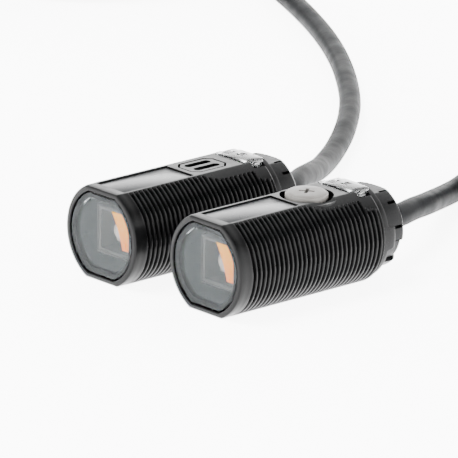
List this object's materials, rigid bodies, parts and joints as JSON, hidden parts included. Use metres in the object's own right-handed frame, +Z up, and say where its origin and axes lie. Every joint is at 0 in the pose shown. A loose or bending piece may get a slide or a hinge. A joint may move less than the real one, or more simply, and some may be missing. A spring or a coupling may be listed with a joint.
{
  "type": "through-beam photoelectric sensor",
  "caption": "Threaded cylindrical photoelectric emitter and receiver heads with flats, clear front lenses, a sensitivity adjuster, indicator windows and pre-wired cables.",
  "frame": {"origin": "centre of the two heads' outline on the plane they rest on, without the cables", "axes": "+Z up, square to the heads' flats; both optical axes run along Y and the lenses face -Y; the receiver is at +X and the emitter at -X"},
  "size_m": [0.2362, 0.1604, 0.017],
  "materials": {
    "knob": "ivory moulded nylon",
    "rubber": "black rubber",
    "barrel": "moulded black PBT with a fine satin surface",
    "plug": "moulded black plastic",
    "cable": "grey vinyl sheath",
    "can": "drawn aluminium can",
    "blue_core": "blue vinyl insulation",
    "brown_core": "brown vinyl insulation",
    "chip": "black moulded package",
    "end_cap": "moulded dark grey plastic",
    "film": "amber polyimide film",
    "clear_optic": "clear polished methacrylate",
    "window": "clear polished plastic light guide",
    "label": "plain silver foil label, no marks",
    "device": "pale moulded package with a clear dome",
    "board": "green solder mask on glass-epoxy",
    "holder": "matt black optical baffle",
    "green_led": "green diffused LED",
    "black_core": "black vinyl insulation",
    "orange_led": "orange diffused LED",
    "trimmer": "pale moulded body"
  },
  "bodies": {
    "heads": {"emitter_barrel_case": "barrel", "emitter_blanking_plug": "plug", "emitter_cable": "cable", "emitter_cable_bush": "rubber", "emitter_cable_coil": "cable", "emitter_capacitor": "can", "emitter_coil_tie": "rubber", "emitter_core_blue": "blue_core", "emitter_core_brown": "brown_core", "emitter_driver_ic": "chip", "emitter_end_cap": "end_cap", "emitter_flex_circuit": "film", "emitter_front_lens": "clear_optic", "emitter_indicator_window": "window", "emitter_label_plate": "label", "emitter_lead_blue": "blue_core", "emitter_lead_brown": "brown_core", "emitter_lens_gasket": "rubber", "emitter_light_source": "device", "emitter_main_pcb": "board", "emitter_optics_holder": "holder", "emitter_power_led": "green_led", "receiver_barrel_case": "barrel", "receiver_cable": "cable", "receiver_cable_bush": "rubber", "receiver_cable_coil": "cable", "receiver_capacitor": "can", "receiver_coil_tie": "rubber", "receiver_core_black": "black_core", "receiver_core_blue": "blue_core", "receiver_core_brown": "brown_core", "receiver_end_cap": "end_cap", "receiver_flex_circuit": "film", "receiver_front_lens": "clear_optic", "receiver_indicator_window": "window", "receiver_label_plate": "label", "receiver_lead_black": "black_core", "receiver_lead_blue": "blue_core", "receiver_lead_brown": "brown_core", "receiver_lens_gasket": "rubber", "receiver_main_pcb": "board", "receiver_operation_led": "orange_led", "receiver_optics_holder": "holder", "receiver_output_driver": "chip", "receiver_photodiode": "device", "receiver_signal_ic": "chip", "receiver_stability_led": "green_led", "trimmer_body": "trimmer"},
    "adjuster": {"adjuster_knob": "knob", "adjuster_oring": "rubber", "trimmer_rotor": "chip"}
  },
  "joints": [
    {"name": "adjuster_turn", "type": "hinge", "parent": "heads", "child": "adjuster", "pos_m": [0.01185, 0.0043, 0.016], "axis": [0, 0, 1], "range_deg": [-105, 105]}
  ]
}
